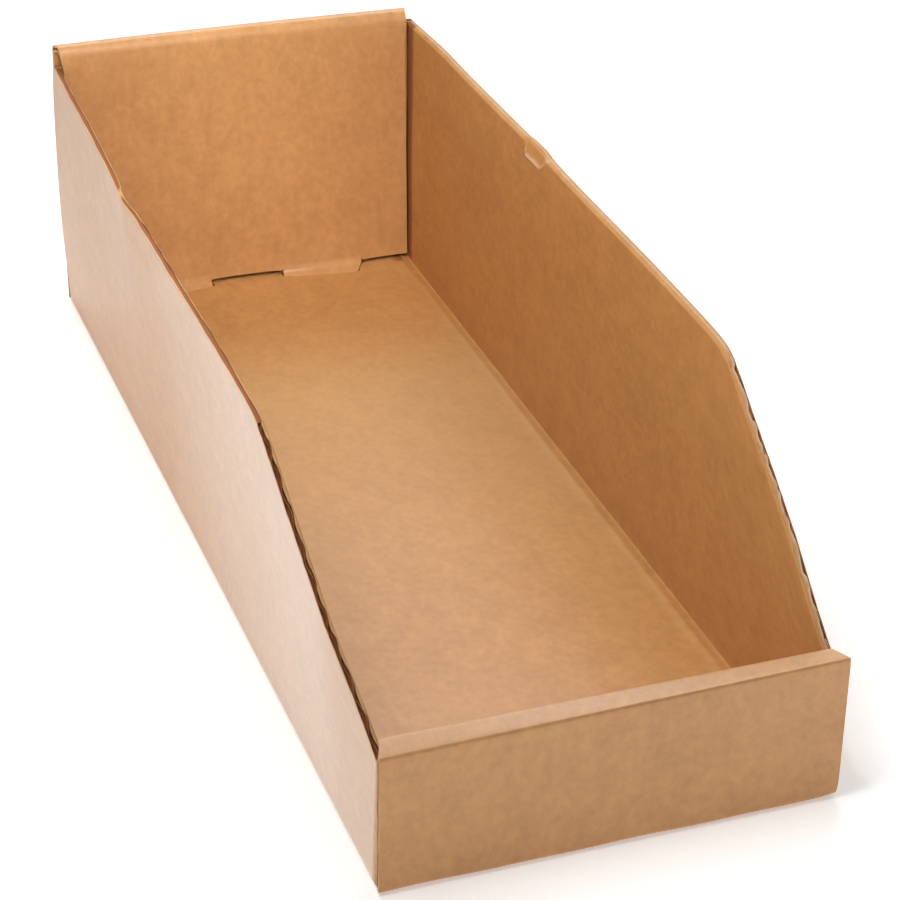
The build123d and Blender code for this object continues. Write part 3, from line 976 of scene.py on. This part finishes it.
# Paper between the liners, painted darker as shade, with no sheen
wavyPaper = {
    "outerDark": (0.32, 0.130, 0.052, 1),
    "outerPale": (0.42, 0.185, 0.080, 1),
    "innerDark": (0.32, 0.130, 0.052, 1),
    "innerPale": (0.42, 0.185, 0.080, 1),
    "specular": 0.0,
    "coat": 0.0,
}
kraftBoard = makeKraft("kraftBoard", kraft)
flutePaper = makeKraft("flutePaper", kraft | wavyPaper)
print("materials made")

traySlab, trayEnds = makeTray()
earSlabs = [makeEar(trayEnds, side, end) for side in (-1, 1) for end in (-1, 1)]
endSlabs = [makeEndWall(trayEnds, endWalls[name]) for name in ("back", "front")]
fluteSlabs = [makeFluting(side) for side in (-1, 1)]
for slab in [traySlab] + earSlabs + fluteSlabs:
    slab["points"] = leanOut(pinchEdges(slab["points"]))
for slab in [traySlab] + earSlabs + endSlabs + fluteSlabs:
    slab["points"] = tipLip(slab["points"])
meshPiece("foldedSheet", [traySlab] + earSlabs + endSlabs, kraftBoard)
meshPiece("fluteSheets", fluteSlabs, flutePaper)

# Pale floor that glows like a light table, a white backdrop, softer lights over the bin and in front, a
# narrow beam on the back panel and wide ones on the ground at the right and in front
studio = {
    "floorHalf": 12.0,
    "floorGap": 0.0002,   # below the bin's underside
    "floorColour": (0.92, 0.92, 0.92, 1),
    "floorRoughness": 0.9,
    "floorGlow": 0.37,
    "farGlow": 0.84,
    "glowReach": (0.5, 1.3),   # distance over which the floor's glow grows to meet the horizon
    "world": (1.0, 1.0, 1.0, 1),
    "horizon": 0.85,
    "horizonTo": (0.16, 0.30),   # upward part of the direction between which the horizon fades
    "worldStrength": 0.06,
    "lights": {
        "backdrop": {"at": (0.45, 1.7, 1.0), "size": (2.6, 1.7), "energy": 16.8},
        "backHigh": {"at": (0.30, 0.9, 1.15), "size": (0.8, 0.5), "energy": 6.3},
        "overLeftWall": {"at": (-0.09, 0.02, 0.45), "size": (0.12, 0.25), "energy": 0.88},
        "overLipLeft": {"at": (-0.35, -0.30, 0.75), "size": (0.3, 0.3), "energy": 2.5},
        "farFront": {"at": (0.0, -2.0, 0.9), "size": (1.5, 1.0), "energy": 0.9},
    },
    "aim": (0.0, 0.0, 0.05),
    "spots": {
        "beam": {
            "at": (-0.1, -1.5, 1.3), "aim": (0.0, 0.22, 0.075),
            "energy": 124.0, "width": 7.0, "blend": 0.8, "soft": 0.1,
        },
        "groundRight": {
            "at": (-0.2, -0.3, 1.3), "aim": (0.35, -0.22, 0),
            "energy": 30.0, "width": 21.0, "blend": 0.6, "soft": 0.1,
        },
        "groundFront": {
            "at": (0.03, -0.60, 1.4), "aim": (0.03, -0.62, 0),
            "energy": 33.0, "width": 31.3, "blend": 0.12, "soft": 0.02,
        },
    },
}


def placeLamp(name, light, place, target):
    # Turned so that local -Z points from the place to the target
    turn = (Vector(target) - Vector(place)).to_track_quat("-Z", "Y").to_matrix().to_4x4()
    addObject(name, light).matrix_world = Matrix.Translation(place) @ turn


def makeFloor():
    half, low = studio["floorHalf"], -studio["floorGap"]
    corners = [(-half, -half, low), (half, -half, low), (half, half, low), (-half, half, low)]
    mesh = bpy.data.meshes.new("studioFloor")
    mesh.from_pydata(corners, [], [(0, 1, 2, 3)])
    material = bpy.data.materials.new("paleFloor")
    material.use_nodes = True
    tree = material.node_tree
    place = addNode(tree, "ShaderNodeTexCoord", {}).outputs["Object"]
    distance = addNode(tree, "ShaderNodeVectorMath", {0: place}, operation="LENGTH").outputs["Value"]
    inputs = {
        "Base Color": studio["floorColour"],
        "Roughness": studio["floorRoughness"],
        "Emission Color": studio["floorColour"],
        "Emission Strength": spread(
            tree, distance, *studio["glowReach"], studio["floorGlow"], studio["farGlow"]
        ),
    }
    setInputs(tree, tree.nodes["Principled BSDF"], inputs)
    mesh.materials.append(material)
    floor = addObject("studioFloor", mesh)


def makeWorld():
    # White, bright near the horizon and dim above it
    world = bpy.data.worlds.new("studioWorld")
    world.use_nodes = True
    tree = world.node_tree
    upward = addNode(tree, "ShaderNodeTexCoord", {}).outputs["Generated"]
    upward = addNode(tree, "ShaderNodeSeparateXYZ", {0: upward}).outputs["Z"]
    glow = spread(tree, upward, *studio["horizonTo"], studio["horizon"], studio["worldStrength"])
    setInputs(tree, tree.nodes["Background"], {"Color": studio["world"], "Strength": glow})
    bpy.context.scene.world = world


def makeLights():
    for name, settings in studio["lights"].items():
        light = bpy.data.lights.new(name, "AREA")
        light.shape = "RECTANGLE"
        light.size, light.size_y = settings["size"]
        light.energy = settings["energy"]
        placeLamp(name, light, settings["at"], studio["aim"])
    for name, settings in studio["spots"].items():
        light = bpy.data.lights.new(name, "SPOT")
        light.energy, light.spot_size = settings["energy"], math.radians(settings["width"])
        light.spot_blend, light.shadow_soft_size = settings["blend"], settings["soft"]
        placeLamp(name, light, settings["at"], settings["aim"])


makeFloor()
makeWorld()
makeLights()
bpy.context.scene.view_settings.view_transform = "Standard"
print("studio made")

# Camera where the photograph was taken from
shot = {
    "at": (-0.2919, -0.9182, 0.5428),
    "turn": -18.87,
    "tilt": 61.829,
    "roll": 0.407,
    "lens": 114.75,
    "sensor": 36.0,
}


def makeCamera():
    data = bpy.data.cameras.new("camera")
    data.lens = shot["lens"]
    data.sensor_width = shot["sensor"]
    camera = addObject("camera", data)
    place = Matrix.Translation(shot["at"])
    for key, axis in (("turn", "Z"), ("tilt", "X"), ("roll", "Z")):
        place = place @ Matrix.Rotation(math.radians(shot[key]), 4, axis)
    camera.matrix_world = place
    bpy.context.scene.camera = camera


makeCamera()
print("camera made")
